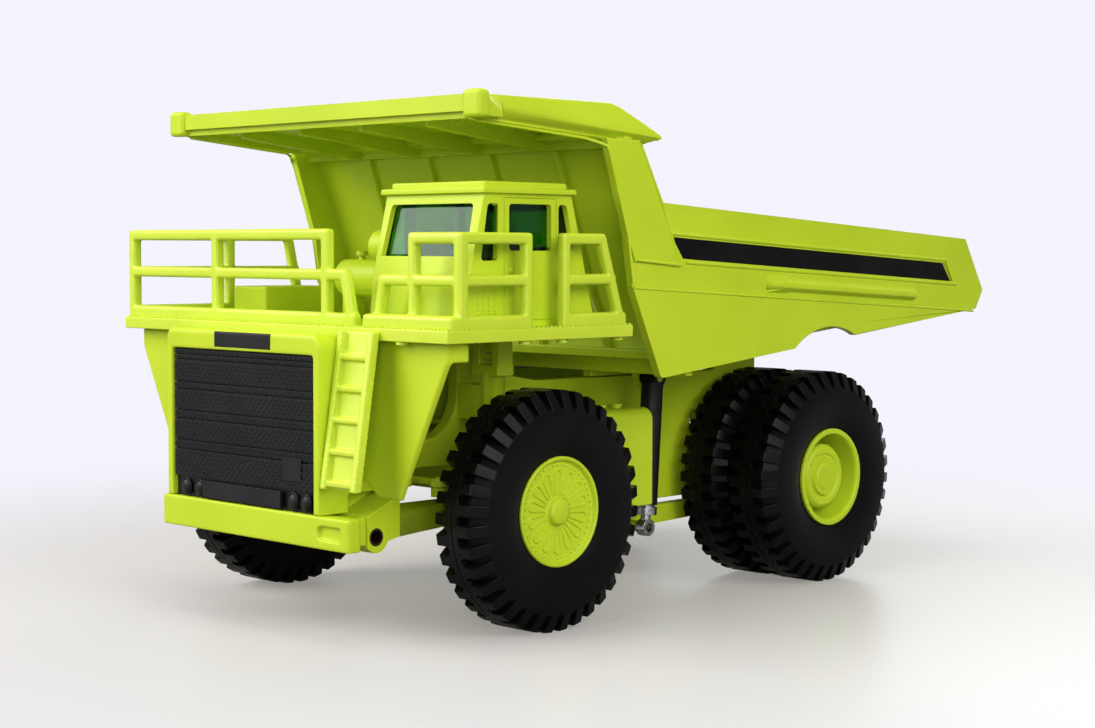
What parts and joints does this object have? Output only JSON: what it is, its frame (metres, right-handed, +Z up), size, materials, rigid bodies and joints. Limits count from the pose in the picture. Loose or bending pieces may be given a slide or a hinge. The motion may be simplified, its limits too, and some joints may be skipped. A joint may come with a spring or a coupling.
{
  "type": "scale model of a rigid mining dump truck",
  "caption": "Die-cast scale model of a rigid mining dump truck: tipping body with canopy on telescopic hoists, offset cab, railed deck, steered front wheels and twin rear wheels.",
  "frame": {"origin": "on the ground under the middle of the overall length and width", "axes": "+X forward, +Y to the truck's left (the cab's side), +Z up"},
  "size_m": [0.1882, 0.1032, 0.1052],
  "materials": {
    "green_paint": "glossy lime paint on die-cast zinc",
    "green_plastic": "moulded lime plastic",
    "black_plastic": "moulded black plastic",
    "cab_trim": "black plastic inside the cab",
    "tinted_glass": "clear green-tinted plastic",
    "black_stripe": "flat black printed stripe, left bare",
    "steel": "plain steel pins and rods",
    "tyre": "soft black rubber"
  },
  "bodies": {
    "chassis": {"chassis_frame": "green_paint", "tow_tube": "steel", "front_panel": "green_paint", "radiator_grille": "black_plastic", "bumper": "green_paint", "ladder": "green_plastic", "deck": "green_plastic", "railing_right": "green_plastic", "railing_left": "green_plastic", "railing_door": "green_plastic", "cab_shell": "green_paint", "cab_glazing": "tinted_glass", "cab_interior": "cab_trim", "deck_box": "green_paint", "air_tank": "green_paint", "air_cleaner": "green_paint", "fuel_tank": "green_paint", "hydraulic_tank": "green_paint", "rear_axle_pin": "steel", "hinge_pin": "steel", "strut_left": "green_paint", "strut_right": "green_paint"},
    "knuckle_left": {"knuckle_left": "green_paint"},
    "knuckle_right": {"knuckle_right": "green_paint"},
    "tie_rod": {"tie_rod": "green_paint"},
    "wheel_front_left": {"tyre_front_left": "tyre", "hub_front_left": "green_paint"},
    "wheel_front_right": {"tyre_front_right": "tyre", "hub_front_right": "green_paint"},
    "wheels_rear_left": {"tyres_rear_left": "tyre", "hub_rear_left": "green_paint"},
    "wheels_rear_right": {"tyres_rear_right": "tyre", "hub_rear_right": "green_paint"},
    "body": {"dump_body": "green_paint", "stripe_left": "black_stripe", "stripe_right": "black_stripe"},
    "hoist_tube_left": {"hoist_tube_left": "black_plastic"},
    "hoist_stage_left": {"hoist_stage_left": "steel"},
    "hoist_rod_left": {"hoist_rod_left": "steel"},
    "hoist_tube_right": {"hoist_tube_right": "black_plastic"},
    "hoist_stage_right": {"hoist_stage_right": "steel"},
    "hoist_rod_right": {"hoist_rod_right": "steel"}
  },
  "joints": [
    {"name": "bed_tip", "type": "hinge", "parent": "chassis", "child": "body", "pos_m": [-0.0389, 0, 0.053], "axis": [0, -1, 0], "range_deg": [0, 45]},
    {"name": "steer", "type": "hinge", "parent": "chassis", "child": "knuckle_left", "pos_m": [0.0528, 0.0273, 0.024], "axis": [0, 0, 1], "range_deg": [-12, 12]},
    {"name": "steer_right", "type": "hinge", "parent": "chassis", "child": "knuckle_right", "pos_m": [0.0528, -0.0273, 0.024], "axis": [0, 0, 1], "range_deg": [-12, 12]},
    {"name": "tie_rod_turn", "type": "hinge", "parent": "knuckle_left", "child": "tie_rod", "pos_m": [0.0676, 0.0273, 0.0294], "axis": [0, 0, 1], "range_deg": [-12, 12]},
    {"name": "spin_front_left", "type": "hinge", "parent": "knuckle_left", "child": "wheel_front_left", "pos_m": [0.0528, 0.0409, 0.024], "axis": [0, 1, 0], "continuous": true},
    {"name": "spin_rear_left", "type": "hinge", "parent": "chassis", "child": "wheels_rear_left", "pos_m": [-0.0349, 0.0417, 0.024], "axis": [0, 1, 0], "continuous": true},
    {"name": "hoist_turn_left", "type": "hinge", "parent": "body", "child": "hoist_tube_left", "pos_m": [0.0046, 0.028, 0.0475], "axis": [0, -1, 0], "range_deg": [-39.72, 0.5]},
    {"name": "hoist_stage_left_slide", "type": "slide", "parent": "hoist_tube_left", "child": "hoist_stage_left", "axis": [0.0667, 0, -0.9978], "range_m": [0, 0.01681]},
    {"name": "hoist_rod_left_slide", "type": "slide", "parent": "hoist_stage_left", "child": "hoist_rod_left", "axis": [0.0667, 0, -0.9978], "range_m": [0, 0.01681]},
    {"name": "spin_front_right", "type": "hinge", "parent": "knuckle_right", "child": "wheel_front_right", "pos_m": [0.0528, -0.0409, 0.024], "axis": [0, 1, 0], "continuous": true},
    {"name": "spin_rear_right", "type": "hinge", "parent": "chassis", "child": "wheels_rear_right", "pos_m": [-0.0349, -0.0417, 0.024], "axis": [0, 1, 0], "continuous": true},
    {"name": "hoist_turn_right", "type": "hinge", "parent": "body", "child": "hoist_tube_right", "pos_m": [0.0046, -0.028, 0.0475], "axis": [0, -1, 0], "range_deg": [-39.72, 0.5]},
    {"name": "hoist_stage_right_slide", "type": "slide", "parent": "hoist_tube_right", "child": "hoist_stage_right", "axis": [0.0667, 0, -0.9978], "range_m": [0, 0.01681]},
    {"name": "hoist_rod_right_slide", "type": "slide", "parent": "hoist_stage_right", "child": "hoist_rod_right", "axis": [0.0667, 0, -0.9978], "range_m": [0, 0.01681]}
  ],
  "couplings": [
    {"joint": "steer_right", "follows": "steer", "ratio": 1},
    {"joint": "tie_rod_turn", "follows": "steer", "ratio": -1},
    {"joint": "hoist_turn_left", "follows": "bed_tip", "ratio": -0.87145},
    {"joint": "hoist_stage_left_slide", "follows": "bed_tip", "m_per_rad": 0.021152},
    {"joint": "hoist_rod_left_slide", "follows": "bed_tip", "m_per_rad": 0.021152},
    {"joint": "hoist_turn_right", "follows": "bed_tip", "ratio": -0.87145},
    {"joint": "hoist_stage_right_slide", "follows": "bed_tip", "m_per_rad": 0.021152},
    {"joint": "hoist_rod_right_slide", "follows": "bed_tip", "m_per_rad": 0.021152}
  ]
}
